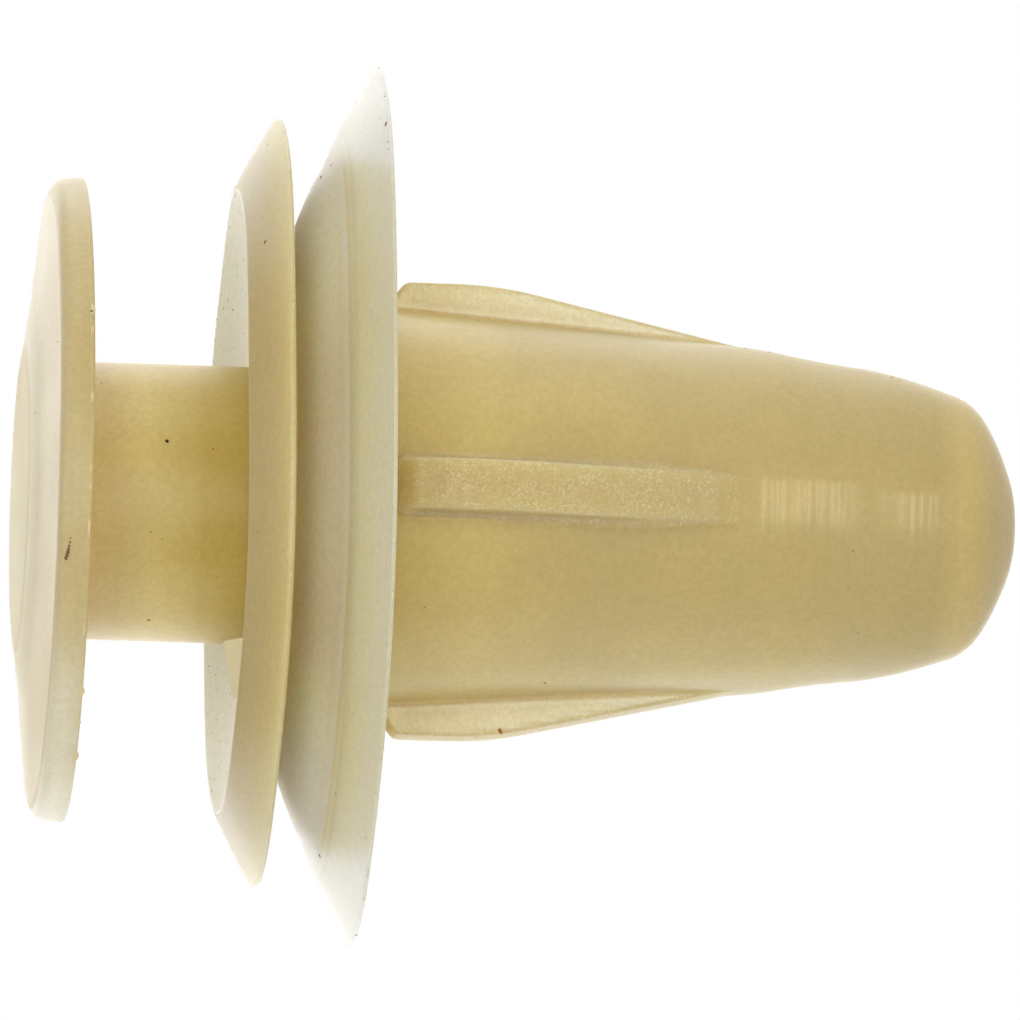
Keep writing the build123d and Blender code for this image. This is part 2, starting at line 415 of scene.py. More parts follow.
hub_top = np.interp(np.abs(points @ near) / MM, *zip(*HUB_OUTLINE))
lip_painted_backlight = smooth(-0.2, 0.25, off_middle - hub_top) * seal_front
skirt_painted_backlight = smooth(4.5, 8.2, off_middle) * smooth(5 * MM, 6 * MM, ring_radius)[:, None]
past_catch_face = smooth(FIN_CATCH - 0.1, FIN_CATCH + 0.3, ring_height / MM)[:, None]
step = (grid_radius - ring_radius[:, None]) / MM
proud = smooth(0.04 * MM, 0.12 * MM, grid_radius - ring_radius[:, None]) * on_shank[:, None]
fin_back = np.interp(ring_height, fin_outline[:, 1], fin_outline[:, 0])[:, None]
flank = proud * smooth(0.03 * MM, 0.1 * MM, fin_back - grid_radius)
print("the fins cover", round(100 * float((proud > 0.5).mean()), 1), "% of the points")

# %% [markdown]
# Now painted light: the skirts are painted paler above and below the clip, where light from behind shines
# through them, and the lip is painted pale just where the thick hub no longer lies behind it as the camera
# sees it. The catch faces and the flanks of the fins are painted paler, the flanks most towards the top and
# bottom, and the head's side is painted paler and its face darker towards the bottom. A second factor paints
# light and shade: it lightens the shaded catches, the roots of the fins and the hub above and below, and
# darkens the fins' backs slightly.

# %% Paleness and painted light and shade of every point
SKIRT_PAINTED_BACKLIGHT = 0.15
LIP_PAINTED_BACKLIGHT = 0.32
CATCH_PAINTED_LIGHT = 0.3
FIN_PALE = 0.22
FLANK_PAINTED_LIGHT = 0.7
HEAD_BELOW_PAINTED_LIGHT = 0.4
FACE_BELOW_PAINTED_SHADE = 0.2
CATCH_LIGHT = 0.14
ROOT_LIGHT = 0.1
FIN_PAINTED_SHADE = 0.05
HUB_LIGHT, HUB_LIGHT_BELOW = 0.2, 0.1

# Painted backlight on the skirts and the lip, painted light on the catch faces, on the fins' flanks towards
# the top and bottom and on the head's side towards the bottom, and painted shade on the head's face towards
# the bottom.
pale = ring_pale[:, None] + SKIRT_PAINTED_BACKLIGHT * skirt_painted_backlight + LIP_PAINTED_BACKLIGHT * lip_painted_backlight
fin_pale = CATCH_PAINTED_LIGHT + (FIN_PALE - CATCH_PAINTED_LIGHT) * past_catch_face
pale += (fin_pale - pale) * proud
flank_painted_light = FIN_PALE + (FLANK_PAINTED_LIGHT - FIN_PALE) * smooth(2, 4, off_middle)
pale += (flank_painted_light - pale) * flank
pale += (HEAD_BELOW_PAINTED_LIGHT * smooth(1.5, 4.5, -rise) * head_side
         - FACE_BELOW_PAINTED_SHADE * smooth(0, 4, -rise) * head_face)
pale = np.clip(pale, 0, 1)

# Painted light and shade: a painted highlight along the roots of the fins above and below, painted light on
# the shaded catch faces and on the hub above and below, and a little painted shade on the fins' backs.
fin_root = smooth(0.0, 0.03, step) * (1 - smooth(0.1, 0.25, step)) * on_shank[:, None]
fin_root = fin_root * smooth(2, 4, off_middle)
catch_face = proud * (1 - past_catch_face)
hub_light = (HUB_LIGHT + HUB_LIGHT_BELOW * (rise < 0)) * smooth(2.5, 6.0, off_middle) * hub
shade = ring_shade[:, None] * (1 + CATCH_LIGHT * catch_face + ROOT_LIGHT * fin_root - FIN_PAINTED_SHADE * proud
                               + hub_light)
print("paleness from", pale.min(), "to", round(float(pale.max()), 2))

# %% [markdown]
# Two patches ahead of the fin were rubbed smooth by the mould and shine. Each is a product of soft steps,
# and its end towards the head slants.

# %% Polished patches
POLISHED = [(14.6, 18.4, -0.4, 1.05), (18.2, 20.4, -0.55, 0.85)]
SLANT = 0.4
along_clip = points[..., 2] / MM


def patch(start, end, low, high):
    """1 inside two ranges in mm, along the clip and above its middle: the product of four soft steps."""
    along = smooth(0, 1.2, along_clip - start - SLANT * (high - rise)) * smooth(0, 0.4, end - along_clip)
    return along * smooth(0, 0.7, rise - low) * smooth(0, 0.2, high - rise)


polish = sum(patch(*edges) for edges in POLISHED)
polish *= (points @ near > 0) & (ring_height > 16 * MM)[:, None]
print("polished points:", int((polish > 0.5).sum()))

# %% [markdown]
# Now the grid becomes a mesh. Each ring joins the next with four-sided faces, and the last line of a ring
# joins its first. The first and last ring lie on the axis, so each becomes one point with a fan of
# triangles, which closes the skin. The order of a face's corners decides which way it looks: outwards here.

# %% The mesh
def put_in_scene(name, data):
    """An object that shows some data, at the origin."""
    made = bpy.data.objects.new(name, data)
    bpy.context.scene.collection.objects.link(made)
    return made


def new_piece(name, corners, faces):
    """A mesh of points and faces, and the object that shows it."""
    made = bpy.data.meshes.new(name)
    made.from_pydata(corners, [], faces)
    return put_in_scene(name, made)


def store(piece, name, values):
    """Stores one number for each point of a piece, for its material to read."""
    attribute = piece.data.attributes.new(name, "FLOAT", "POINT")
    attribute.data.foreach_set("value", np.asarray(values, np.float32))


lines = len(angles)
inner = points[1:-1].reshape(-1, 3)
vertices = np.concatenate([points[0, :1], inner, points[-1, :1]])
ring_count = len(points) - 2
ring_start = np.arange(ring_count - 1)[:, None] * lines
here = (ring_start + np.arange(lines)[None] + 1).ravel()
beside = (ring_start + (np.arange(lines)[None] + 1) % lines + 1).ravel()
quads = np.stack([here, beside, beside + lines, here + lines], 1)
first = np.arange(lines) + 1
last = first + (ring_count - 1) * lines
foot_fan = np.stack([np.zeros(lines, int), np.roll(first, -1), first], 1)
tip_fan = np.stack([np.full(lines, len(vertices) - 1), last, np.roll(last, -1)], 1)

clip = new_piece("clip", vertices.tolist(), foot_fan.tolist() + quads.tolist() + tip_fan.tolist())
clip_faces = clip.data.polygons
clip_faces.foreach_set("use_smooth", np.ones(len(clip_faces), bool))
grain_share = smooth(0.0, 0.06, step) * on_shank[:, None]
looks = {"pale": pale, "shade": shade, "polish": polish, "grain": grain_share, "dish": dish_wall}
for name, look in looks.items():
    look = np.broadcast_to(look, points.shape[:2])
    store(clip, name, np.concatenate([look[0, :1], look[1:-1].ravel(), look[-1, :1]]))

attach(clip, "root")
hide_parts("retainer")
print("clip:", len(vertices), "points,", 2 * len(quads) + 2 * lines, "triangles")

# %% [markdown]
# Where two halves of a mould meet, a little plastic creeps between them and stays on the edge as flash. It
# is far finer than the grid, so it gets a mesh of its own: a thin strip that follows one ring of the grid
# and has a ragged crest.

# %% Strips with a ragged crest
SUNK = 0.03
CREST_SHARE = 0.4
RAGGED_POWER = 4


def nearest_ring(radius, height):
    """Number of the ring that comes closest to a radius and a height in mm."""
    return int(np.argmin(np.hypot(ring_radius - radius * MM, ring_height - height * MM)))


def near_angle(radius, above):
    """The angle round the axis, on the viewer's side, of the point that lies `above` mm over the middle:
    the sides of a right triangle with the radius as its long side."""
    place = near * math.sqrt(radius ** 2 - above ** 2) + up * above
    return math.atan2(place[1], place[0])


def ragged(stations, knots, strength):
    """Heights in mm that mostly stay sunk in the edge: chance numbers to a high power, joined by lines."""
    knot_angles = np.linspace(0, 2 * np.pi, knots, endpoint=False)
    heights = strength * chance.uniform(0, 1, knots) ** RAGGED_POWER
    return np.interp(stations, knot_angles, heights, period=2 * np.pi) - SUNK


def burrs(stations, radius, places):
    """Single bumps, each shaped like tall x exp(-x^2), at known heights above the middle."""
    total = 0
    for above, tall, wide in places:
        off = (stations - near_angle(radius, above) + np.pi) % (2 * np.pi) - np.pi
        total = total + tall * np.exp(-(off * radius / wide) ** 2)
    return total


def strip(ring, stations, tall, lean, thick, closed=True):
    """Points and faces of a strip of flash. It leans in the direction (outwards, along the axis), and each
    of its sections is a trapeze: foot, crest, crest, foot."""
    foot = np.stack([np.interp(stations, angles, points[ring, :, k], period=2 * np.pi) for k in range(3)], 1)
    out = np.stack([np.cos(stations), np.sin(stations), 0 * stations], 1)
    lean = np.array(lean) / np.hypot(*lean)
    rising = out * lean[0] + np.array([0, 0, lean[1]])
    across = (out * lean[1] - np.array([0, 0, lean[0]])) * thick / 2 * MM
    crest = foot + rising * np.asarray(tall)[:, None] * MM
    foot = foot - 2 * rising * SUNK * MM
    narrow = across * CREST_SHARE
    section = np.stack([foot - across, crest - narrow, crest + narrow, foot + across], 1)
    count = len(stations)
    spans = [(4 * i, 4 * ((i + 1) % count)) for i in range(count if closed else count - 1)]
    faces = [[a + k, a + (k + 1) % 4, b + (k + 1) % 4, b + k] for a, b in spans for k in range(4)]
    if not closed:
        faces += [[3, 2, 1, 0], [4 * count - 4, 4 * count - 3, 4 * count - 2, 4 * count - 1]]
    return section.reshape(-1, 3), faces


print("flash starts", SUNK, "mm under the skin")

# %% [markdown]
# Three edges have flash: the lip's, the collar's and the back edge of the head. Most of it comes by chance,
# and the larger burrs stand where the picture shows them: each has its place above the clip's middle, its
# height and its width. The collar's rim also has a torn flap, which stands off towards the head.

# %% Flash on the edges
LIP_STATIONS, LIP_KNOTS, LIP_RAGGED = 1400, 350, 0.08
COLLAR_STATIONS, COLLAR_KNOTS, COLLAR_RAGGED = 1100, 280, 0.045
HEAD_STATIONS, HEAD_KNOTS, HEAD_RAGGED = 900, 220, 0.03
LIP_BURRS = [(6.73, 0.08, 0.1), (6.3, 0.06, 0.1), (-5.38, 0.07, 0.1), (-8.0, 0.07, 0.1), (-8.6, 0.08, 0.1)]
COLLAR_BURRS = [(8.16, 0.08, 0.1), (7.25, 0.07, 0.1), (-7.0, 0.06, 0.1)]
HEAD_BURRS = [(-4.17, 0.1, 0.15), (-4.87, 0.07, 0.1), (-5.6, 0.08, 0.2), (4.19, 0.06, 0.1)]
FLAP_START, FLAP_FULL, FLAP_END = -2.98, -3.08, -4.3
FLAP_HEIGHTS = [0.1, 0.42, 0.02]
FLAP_STATIONS = 36

lip_edge, collar_edge, head_edge = [np.linspace(0, 2 * np.pi, count, endpoint=False)
                                    for count in (LIP_STATIONS, COLLAR_STATIONS, HEAD_STATIONS)]
lip_crest = ragged(lip_edge, LIP_KNOTS, LIP_RAGGED) + burrs(lip_edge, lip_radius, LIP_BURRS)
collar_crest = ragged(collar_edge, COLLAR_KNOTS, COLLAR_RAGGED)
collar_crest += burrs(collar_edge, COLLAR_RADIUS, COLLAR_BURRS)
head_crest = ragged(head_edge, HEAD_KNOTS, HEAD_RAGGED) + burrs(head_edge, HEAD_RADIUS, HEAD_BURRS)
flap_above = np.linspace(FLAP_END, FLAP_START, FLAP_STATIONS)
flap_tall = np.interp(flap_above, [FLAP_END, FLAP_FULL, FLAP_START], FLAP_HEIGHTS)
flap_angles = np.array([near_angle(RIM_RADIUS - 0.05, above) for above in flap_above])

lip_ring = nearest_ring(lip_radius, LIP_HEIGHT + 0.05)
collar_ring = nearest_ring(COLLAR_RADIUS, COLLAR_HEIGHT + 0.06)
head_ring = nearest_ring(HEAD_RADIUS, HEAD_THICKNESS)
rim_ring = nearest_ring(RIM_RADIUS - 0.05, RIM_HEIGHT)
strips = [
    (0.55, strip(lip_ring, lip_edge, lip_crest, (1, 0.25), 0.05)),
    (0.45, strip(collar_ring, collar_edge, collar_crest, (1, 0.35), 0.04)),
    (0.32, strip(head_ring, head_edge, head_crest, (0.35, 1), 0.05)),
    (0.38, strip(rim_ring, flap_angles, flap_tall, (-0.1, -1), 0.06, closed=False)),
]
flash_points, flash_faces, flash_pale = [], [], []
for paleness, (strip_points, strip_faces) in strips:
    flash_faces += [[number + len(flash_points) for number in face] for face in strip_faces]
    flash_points += strip_points.tolist()
    flash_pale += [paleness] * len(strip_points)
flash = new_piece("flash", flash_points, flash_faces)
store(flash, "pale", flash_pale)
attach(flash, "root")
print("flash:", 2 * len(flash_faces), "triangles, up to", round(float(lip_crest.max()), 3), "mm on the lip")

# %% [markdown]
# A material is a small program of nodes. One helper adds a node with its settings and plugs in its inputs,
# and another starts a node group with named sockets. The groups below are effects of the mould's surface.

# %% Helpers for nodes
def new_material(name):
    """A material without nodes, and the tree that they will stand in."""
    made = bpy.data.materials.new(name)
    made.use_nodes = True
    made.node_tree.nodes.clear()
    return made, made.node_tree


def new_group(name, inputs, outputs):
    """An empty node group with its sockets: returns its tree, what comes in and what goes out."""
    made = bpy.data.node_groups.new(name, "ShaderNodeTree")
    for label, kind in inputs:
        made.interface.new_socket(label, in_out="INPUT", socket_type="NodeSocket" + kind)
    for label, kind in outputs:
        made.interface.new_socket(label, in_out="OUTPUT", socket_type="NodeSocket" + kind)
    return made, made.nodes.new("NodeGroupInput").outputs, made.nodes.new("NodeGroupOutput").inputs


def add(tree, kind, inputs=None, **settings):
    """A node with its settings. Each input is a plain value, or a socket to link from."""
    made = tree.nodes.new("ShaderNode" + kind)
    for name, value in settings.items():
        setattr(made, name, value)
    for name, value in (inputs or {}).items():
        if isinstance(value, bpy.types.NodeSocket):
            tree.links.new(value, made.inputs[name])
        else:
            made.inputs[name].default_value = value
    return made


def stored(tree, name):
    """The number that a mesh stores under a name."""
    return add(tree, "Attribute", attribute_name=name).outputs["Fac"]


def noise(tree, vector, scale, detail, roughness=0.5):
    """Smooth noise from 0 to 1, whose first size is about 1 / scale metres."""
    inputs = {"Vector": vector, "Scale": scale, "Detail": detail, "Roughness": roughness}
    return add(tree, "TexNoise", inputs).outputs["Fac"]


def math_node(tree, operation, *values, clamp=False):
    """The result of a Math node on up to three values."""
    return add(tree, "Math", dict(enumerate(values)), operation=operation, use_clamp=clamp).outputs[0]


def mixed(tree, factor, a, b, blend="MIX"):
    """Colour a turned into colour b by factor."""
    return add(tree, "Mix", {0: factor, 6: a, 7: b}, data_type="RGBA", blend_type=blend).outputs[2]


def between(tree, value, low, high, to_low=0.0, to_high=1.0, kind="LINEAR"):
    """A value mapped from one range to another, and held at its ends."""
    ranges = {"Value": value, "From Min": low, "From Max": high, "To Min": to_low, "To Max": to_high}
    return add(tree, "MapRange", ranges, interpolation_type=kind).outputs["Result"]


def colour_ramp(tree, value, stops):
    """A colour read from a list of (position, colour), blended between neighbours."""
    made = add(tree, "ValToRGB", {"Fac": value})
    for position, _ in stops[1:-1]:
        made.color_ramp.elements.new(position)
    for element, (position, tone) in zip(made.color_ramp.elements, stops):
        element.position, element.color = position, tone
    return made.outputs["Color"]


print("node helpers ready")

# %% [markdown]
# The steel of a mould leaves its own skin on the part. On the fins and in the dish it was spark-eroded, a
# skin of tiny craters that glitters. Noise gives such a grain its depth, and a Voronoi texture scatters
# painted glints: near-white spots of colour where the craters would catch the light, more of them in some
# patches than in others.

# %% Spark grain
CRATER_SCALE = 9500.0
SPOT_SCALE = 15000.0
PATCH_SCALE = 2600.0

grain, going_in, going_out = new_group(
    "spark_grain", [("Vector", "Vector"), ("Mask", "Float")], [("Height", "Float"), ("Painted_glints", "Float")])
craters = noise(grain, going_in["Vector"], CRATER_SCALE, 2.0, 0.6)
spots = add(grain, "TexVoronoi", {"Vector": going_in["Vector"], "Scale": SPOT_SCALE, "Randomness": 1.0})
bright = between(grain, spots.outputs["Distance"], 0.56, 0.18)
patches = between(grain, noise(grain, going_in["Vector"], PATCH_SCALE, 1.0), 0.35, 0.6, 0.25, 1)
painted_glints = math_node(grain, "MULTIPLY", math_node(grain, "MULTIPLY", bright, patches), going_in["Mask"])
crater_height = math_node(grain, "MULTIPLY", craters, going_in["Mask"])
grain.links.new(crater_height, going_out["Height"])
grain.links.new(painted_glints, going_out["Painted_glints"])
print("grain of about", round(1 / CRATER_SCALE / MM, 2), "mm")

# %% [markdown]
# The nose's cavity was turned on a lathe, and its fine rings came off on the nylon. Noise that is stretched
# flat across the axis varies only along it, which is what a turned ring is.

# %% Turning lines
TURNING_SCALE = 9000.0
ACROSS_SHARE = 0.03

turned, going_in, going_out = new_group(
    "turning_lines", [("Vector", "Vector"), ("Start", "Float"), ("Full", "Float")], [("Height", "Float")])
axial = add(turned, "SeparateXYZ", {0: going_in["Vector"]}).outputs["Z"]
flattening = {0: going_in["Vector"], 1: (ACROSS_SHARE, ACROSS_SHARE, 1.0)}
flat = add(turned, "VectorMath", flattening, operation="MULTIPLY").outputs[0]
ring_noise = noise(turned, flat, TURNING_SCALE, 2.0)
turning_share = between(turned, axial, going_in["Start"], going_in["Full"], kind="SMOOTHSTEP")
turned.links.new(math_node(turned, "MULTIPLY", ring_noise, turning_share), going_out["Height"])
print("turning lines of about", round(1 / TURNING_SCALE / MM, 2), "mm")

# %% [markdown]
# The nylon itself. A ramp turns the stored paleness into a colour: amber, then the yellow of thick nylon,
# then ivory and nearly white for thin walls. Faint clouds keep it from looking painted. The stored factor of
# painted light and shade scales the result, which is held just under white, because no real plastic sends
# back all light.

# %% Colour of the nylon
PALE_COLOURS = [
    (0.0, (0.64, 0.48, 0.11, 1)),
    (0.07, (0.71, 0.58, 0.22, 1)),
    (0.15, (0.575, 0.462, 0.20, 1)),
    (0.5, (0.68, 0.60, 0.38, 1)),
    (0.8, (0.84, 0.79, 0.62, 1)),
    (1.0, (0.95, 0.90, 0.75, 1)),
]
PALEST = (0.97, 0.96, 0.93)
CLOUD_SCALE = 260.0

nylon, tree = new_material("natural_nylon")
place_on = add(tree, "TexCoord").outputs["Object"]
pale_here = stored(tree, "pale")
grain_mask = stored(tree, "grain")
dish_mask = stored(tree, "dish")
clouds = noise(tree, place_on, CLOUD_SCALE, 3.0, 0.55)
cloudy = between(tree, clouds, 0.3, 0.7, -0.03, 0.03)
tint = math_node(tree, "ADD", pale_here, cloudy, clamp=True)
colour = colour_ramp(tree, tint, PALE_COLOURS)
shade_here = stored(tree, "shade")
colour = add(tree, "VectorMath", {0: colour, "Scale": shade_here}, operation="SCALE").outputs[0]
colour = add(tree, "VectorMath", {0: colour, 1: PALEST}, operation="MINIMUM").outputs[0]
print("ramp of", len(PALE_COLOURS), "colours")

# %% [markdown]
# Over that colour lie two fine effects: painted glints of the spark grain, full on the fins and weaker in
# the dish, and a mottle of darker spots everywhere, as natural nylon has.

# %% Painted glints and mottle
DISH_GRAIN = 0.7
PAINTED_GLINTS = 0.24
PAINTED_GLINT_COLOUR = (1, 0.97, 0.86, 1)
MOTTLE = 0.8
MOTTLE_SCALE = 7000.0
MOTTLE_COLOUR = (0.89, 0.89, 0.84, 1)

rough_places = math_node(tree, "MAXIMUM", grain_mask, math_node(tree, "MULTIPLY", dish_mask, DISH_GRAIN))
spark = add(tree, "Group", {"Vector": place_on, "Mask": rough_places}, node_tree=grain).outputs
colour = mixed(tree, math_node(tree, "MULTIPLY", spark["Painted_glints"], PAINTED_GLINTS), colour, PAINTED_GLINT_COLOUR)
along_axis = add(tree, "SeparateXYZ", {0: place_on}).outputs["Z"]
polished = stored(tree, "polish")
mottle = noise(tree, place_on, MOTTLE_SCALE, 2.0, 0.7)
colour = mixed(tree, between(tree, mottle, 0.35, 0.65, 0, MOTTLE), colour, MOTTLE_COLOUR, "MULTIPLY")
print("mottle of about", round(1 / MOTTLE_SCALE / MM, 2), "mm")

# %% [markdown]
# Then the relief. Craters, turning lines and the unevenness of the skin are added up and meet in one Bump
# node, whose distance is their real height. The shine of the polished patches is broken by the turning
# lines too, and goes into a clear coat, which keeps the nylon under it soft.

# %% Relief and shine
GRAIN_DEPTH = 0.012
SKIN_SCALE = 3200.0
SKIN_SHARE, TURNING_SHARE = 0.12, 0.25
TURNING_START, TURNING_FULL = 14 * MM, 15.5 * MM

turning = {"Vector": place_on, "Start": TURNING_START, "Full": TURNING_FULL}
lathe = add(tree, "Group", turning, node_tree=turned).outputs["Height"]
polished = math_node(tree, "MULTIPLY", polished, between(tree, lathe, 0.4, 0.6, 0.2, 0.9))
shine = math_node(tree, "ADD", polished, between(tree, along_axis, 13 * MM, 18 * MM, 0, 0.06))
skin = noise(tree, place_on, SKIN_SCALE, 3.0, 0.6)
relief = math_node(tree, "ADD", spark["Height"], math_node(tree, "MULTIPLY", skin, SKIN_SHARE))
relief = math_node(tree, "ADD", relief, math_node(tree, "MULTIPLY", lathe, TURNING_SHARE))
bump = add(tree, "Bump", {"Height": relief, "Strength": 1.0, "Distance": GRAIN_DEPTH * MM}).outputs[0]
print("relief of up to", GRAIN_DEPTH, "mm")

# %% [markdown]
# Last comes the shader. The grain, the nose and the head's pad are rougher than the rest. Subsurface
# scattering lets light wander under the skin, red further than blue, so that thin lips glow.

# %% Roughness and light under the skin
SMOOTHEST, ROUGHEST = 0.34, 0.44
GRAIN_ROUGH = 0.1
NOSE_ROUGH = 0.1
PAD_ROUGH = 0.08
SCATTER_DEPTH = 0.0025

roughness = between(tree, clouds, 0.3, 0.7, SMOOTHEST, ROUGHEST)
roughness = math_node(tree, "ADD", roughness, math_node(tree, "MULTIPLY", rough_places, GRAIN_ROUGH))
roughness = math_node(tree, "ADD", roughness, between(tree, along_axis, 14 * MM, 17 * MM, 0, NOSE_ROUGH))
pad = between(tree, along_axis, 0.2 * MM, 0.05 * MM, 0, PAD_ROUGH)
roughness = math_node(tree, "ADD", roughness, pad)
shader = add(tree, "BsdfPrincipled", {
    "Base Color": colour,
    "Roughness": roughness,
    "Normal": bump,
    "IOR": 1.53,
    "Specular IOR Level": 0.35,
    "Coat Weight": shine,
    "Coat Roughness": 0.17,
    "Coat Normal": bump,
    "Subsurface Weight": 0.8,
    "Subsurface Radius": (1.0, 0.75, 0.45),
    "Subsurface Scale": SCATTER_DEPTH,
})
add(tree, "OutputMaterial", {"Surface": shader.outputs[0]})
clip.data.materials.append(nylon)
print("nylon:", len(tree.nodes), "nodes")

# %% [markdown]
# Flash is too thin for light to wander in it. It gets a plain matt version of the same nylon.

# %% Nylon of the flash
thin, tree = new_material("thin_nylon")
thin_colour = colour_ramp(tree, stored(tree, "pale"), PALE_COLOURS)
shader = add(tree, "BsdfPrincipled", {"Base Color": thin_colour, "Roughness": 0.5})
add(tree, "OutputMaterial", {"Surface": shader.outputs[0]})
flash.data.materials.append(thin)
print("nylon of the flash:", len(tree.nodes), "nodes")

# %% [markdown]
# The clip was photographed on a lit white table: light comes from behind and all around. On the viewer's
# side a warm window leaves its gleam on the nose, and smaller lamps light the front and the head.
# The lamps stay at a plain level. Each is told how bright it makes a white surface that faces it:
# power = level x pi^2 x distance^2.

# %% Lamps
AXIS = Vector((0, 0, 1))
NEAR, UP = Vector(near), Vector(up)
MIDDLE = Vector((0, 0, LENGTH / 2))
LAMP_DISTANCE = 0.2
WHITE = (1, 1, 1)
WARM = (1.0, 0.82, 0.45)


def lamp(name, along, above, toward_viewer, level, wide, long, tint=WHITE):
    """An area lamp in a direction given along the axis, above it and towards the viewer. Its sizes in
    metres are across the axis and along it."""
    direction = (AXIS * along + UP * above + NEAR * toward_viewer).normalized()
    light = bpy.data.lights.new(name, "AREA")
    light.shape, light.size, light.size_y = "RECTANGLE", wide, long
    light.color = tint
    light.energy = level * math.pi ** 2 * LAMP_DISTANCE ** 2
    lit = put_in_scene(name, light)
    lit.location = MIDDLE + direction * LAMP_DISTANCE
    lit.rotation_euler = direction.to_track_quat("Z", "Y").to_euler()
    lit.visible_camera = False
    return lit


lamps = [
    lamp("window", 0.6, 0.3, 1.0, 0.24, 0.12, 0.08, WARM),
    lamp("front", 0.1, 0.1, 1.0, 0.06, 0.16, 0.1),
    lamp("head_side", -0.22, 0.1, 1.0, 0.27, 0.1, 0.06),
    lamp("head_end", -1.0, 0.1, 0.4, 0.22, 0.12, 0.12),
    lamp("above", -0.06, 1.0, 0.12, 0.21, 0.14, 0.14),
    lamp("below", -0.06, -1.0, 0.12, 0.24, 0.14, 0.14),
    lamp("behind", 0.0, 0.0, -1.0, 0.42, 0.2, 0.2),
    lamp("behind_above", 0.0, 1.0, -0.8, 0.24, 0.14, 0.14),
    lamp("behind_below", 0.0, -1.0, -0.8, 0.26, 0.14, 0.14),
]
print(len(lamps), "lamps")

# %% [markdown]
# The background is plain white. The world shows white to the camera, and also to reflections, so that the
# clip mirrors the same white that we see. As a light it gives only a soft grey glow.

# %% World
AMBIENT = 0.38

world = bpy.data.worlds.new("white_table")
world.use_nodes = True
bpy.context.scene.world = world
tree = world.node_tree
tree.nodes.clear()
path = add(tree, "LightPath").outputs
mirrored = math_node(tree, "MAXIMUM", path["Is Glossy Ray"], path["Is Transmission Ray"])
seen = math_node(tree, "MAXIMUM", path["Is Camera Ray"], mirrored)
glow = add(tree, "Background", {"Color": (1, 1, 1, 1), "Strength": AMBIENT}).outputs[0]
white = add(tree, "Background", {"Color": (1, 1, 1, 1), "Strength": 1.0}).outputs[0]
add(tree, "OutputWorld", {"Surface": add(tree, "MixShader", {0: seen, 1: glow, 2: white}).outputs[0]})
print("ambient glow", AMBIENT)

# %% [markdown]
# The floor is pale and looks up. It shows only from above, because the camera stands a little below it,
# and it takes no part in the light.

# %% Floor
FLOOR_SIZE = 1.2
FLOOR_COLOUR = (0.92, 0.92, 0.91, 1)

half_floor = FLOOR_SIZE / 2
floor_corners = [(x * half_floor, y * half_floor, 0) for x, y in [(-1, -1), (1, -1), (1, 1), (-1, 1)]]
floor = new_piece("floor", floor_corners, [(0, 1, 2, 3)])
floor_paint, tree = new_material("pale_floor")
path = add(tree, "LightPath").outputs
underneath = add(tree, "NewGeometry").outputs["Backfacing"]
shown = math_node(tree, "MULTIPLY", path["Is Camera Ray"], math_node(tree, "SUBTRACT", 1.0, underneath))
clear = add(tree, "BsdfTransparent").outputs[0]
matt = add(tree, "BsdfDiffuse", {"Color": FLOOR_COLOUR}).outputs[0]
add(tree, "OutputMaterial", {"Surface": add(tree, "MixShader", {0: shown, 1: clear, 2: matt}).outputs[0]})
floor.data.materials.append(floor_paint)
print("floor of", FLOOR_SIZE, "m")

# %% [markdown]
# The camera looks at the clip's side from far away through a long lens, so that hardly anything tapers.
# It is turned on its side, because in the picture the clip lies and its axis runs to the right. It also
# stands a few degrees towards the head, which opens the near halves of the rims.

# %% Camera
PICTURE = 1020
PIXELS_PER_MM = 45.25
DISTANCE = 600 * MM
AIM_HEIGHT = 11 * MM
TILT = math.radians(4.475)
ROLL = math.radians(1.843)
FOOT_IN_PICTURE = (18.63, 498.53)
SENSOR = 36.0
NEAREST_SEEN, FURTHEST_SEEN = 0.01, 10.0

focal_pixels = PIXELS_PER_MM * DISTANCE / MM
to_right = (AXIS * math.cos(TILT) * math.cos(ROLL) + NEAR * math.sin(TILT) * math.cos(ROLL)
            + UP * math.sin(ROLL))
to_top = (-AXIS * math.cos(TILT) * math.sin(ROLL) - NEAR * math.sin(TILT) * math.sin(ROLL)
          + UP * math.cos(ROLL))
to_viewer = -AXIS * math.sin(TILT) + NEAR * math.cos(TILT)

foot_depth = DISTANCE + AIM_HEIGHT * AXIS.dot(to_viewer)
off_right = (FOOT_IN_PICTURE[0] - PICTURE / 2) / focal_pixels * foot_depth
off_top = (PICTURE / 2 - FOOT_IN_PICTURE[1]) / focal_pixels * foot_depth
eye = to_viewer * foot_depth - to_right * off_right - to_top * off_top
turned_frame = Matrix((to_right, to_top, to_viewer)).transposed()

camera = put_in_scene("camera", bpy.data.cameras.new("camera"))
camera.data.sensor_width = SENSOR
camera.data.lens = focal_pixels * SENSOR / PICTURE
camera.data.clip_start, camera.data.clip_end = NEAREST_SEEN, FURTHEST_SEEN
camera.matrix_world = Matrix.Translation(eye) @ turned_frame.to_4x4()
bpy.context.scene.camera = camera
bpy.context.scene.view_settings.view_transform = "Standard"
print("lens", round(camera.data.lens, 1), "mm from", [round(v, 4) for v in eye])

# %% [markdown]
# Dust sticks to the clip and a few burnt specks came out of the machine with it. Those that we can see in
# the picture are put back where they are. Each has its column and row in the picture, a size in mm, and a
# tone from 0 for black over brown and grey-brown to 1 for rust red.

